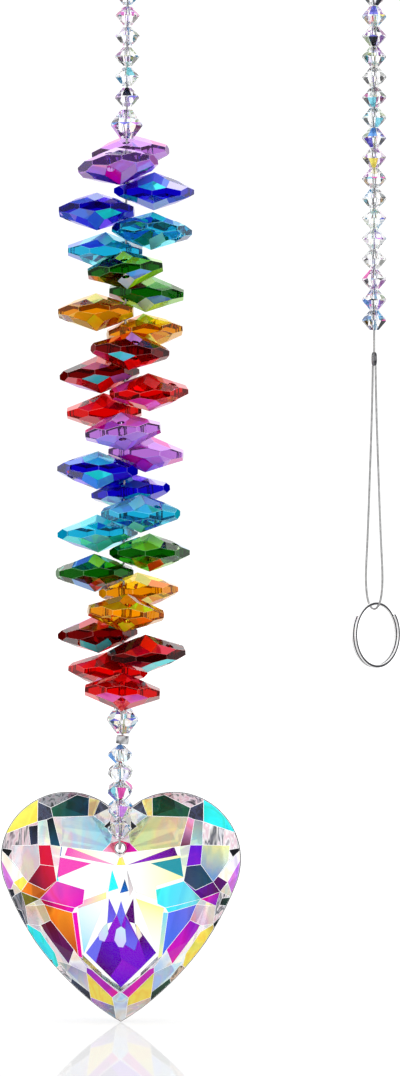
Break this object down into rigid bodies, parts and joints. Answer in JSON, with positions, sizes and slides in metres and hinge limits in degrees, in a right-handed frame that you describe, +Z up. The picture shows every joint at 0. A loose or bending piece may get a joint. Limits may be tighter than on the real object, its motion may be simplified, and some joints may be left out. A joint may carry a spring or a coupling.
{
  "type": "crystal suncatcher",
  "caption": "Hanging crystal suncatcher: rainbow octagon crystals and a faceted glass heart on a clear beaded strand, with a wire loop and split ring.",
  "frame": {"origin": "top of the arch, on the strand's centreline, where it lies over the bar that holds it", "axes": "+Z up, -Y towards the viewer (the front), +X towards the run that ends in the ring"},
  "size_m": [0.0751, 0.0256, 0.2199],
  "materials": {
    "violet_crystal": "faceted and polished, iridescent coating",
    "indigo_crystal": "faceted and polished, iridescent coating",
    "sky_crystal": "faceted and polished, iridescent coating",
    "green_crystal": "faceted and polished, iridescent coating",
    "gold_crystal": "faceted and polished, iridescent coating",
    "garnet_crystal": "faceted and polished, iridescent coating",
    "red_crystal": "faceted and polished, iridescent coating",
    "heart_crystal": "clear, faceted and polished, rainbow coating",
    "clear_crystal": "clear, faceted and polished, faint rainbow coating",
    "silver": "bright, slightly worn",
    "ring_steel": "drawn wire, bright",
    "beading_wire": "fine drawn wire",
    "dark_metal": "blackened"
  },
  "bodies": {
    "root": {"clear_bead_back_1": "clear_crystal", "clear_bead_back_2": "clear_crystal", "clear_bead_back_3": "clear_crystal", "clear_bead_back_4": "clear_crystal", "clear_bead_front_1": "clear_crystal", "clear_bead_front_2": "clear_crystal", "clear_bead_front_3": "clear_crystal", "clear_bead_front_4": "clear_crystal", "clear_bead_front_5": "clear_crystal", "clear_bead_left_1": "clear_crystal", "clear_bead_left_2": "clear_crystal", "clear_bead_left_3": "clear_crystal", "clear_bead_left_4": "clear_crystal", "clear_bead_left_5": "clear_crystal", "clear_bead_left_6": "clear_crystal", "clear_beads_over_bar": "clear_crystal", "clear_beads_right": "clear_crystal", "clear_bicone_lower": "clear_crystal", "clear_bicone_upper": "clear_crystal", "crimp_loop": "dark_metal", "crimp_pendant": "silver", "crystal_heart": "heart_crystal", "end_wire": "beading_wire", "loop_wire": "beading_wire", "octagon_garnet_1": "garnet_crystal", "octagon_garnet_2": "garnet_crystal", "octagon_garnet_3": "garnet_crystal", "octagon_garnet_4": "garnet_crystal", "octagon_gold_1": "gold_crystal", "octagon_gold_2": "gold_crystal", "octagon_gold_3": "gold_crystal", "octagon_gold_4": "gold_crystal", "octagon_green_1": "green_crystal", "octagon_green_2": "green_crystal", "octagon_green_3": "green_crystal", "octagon_green_4": "green_crystal", "octagon_indigo_1": "indigo_crystal", "octagon_indigo_2": "indigo_crystal", "octagon_indigo_3": "indigo_crystal", "octagon_indigo_4": "indigo_crystal", "octagon_red_1": "red_crystal", "octagon_red_2": "red_crystal", "octagon_red_3": "red_crystal", "octagon_red_4": "red_crystal", "octagon_sky_1": "sky_crystal", "octagon_sky_2": "sky_crystal", "octagon_sky_3": "sky_crystal", "octagon_sky_4": "sky_crystal", "octagon_violet_1": "violet_crystal", "octagon_violet_2": "violet_crystal", "octagon_violet_3": "violet_crystal", "octagon_violet_4": "violet_crystal", "pendant_wire": "beading_wire", "split_ring": "ring_steel", "strand_wire": "beading_wire"}
  },
  "joints": []
}
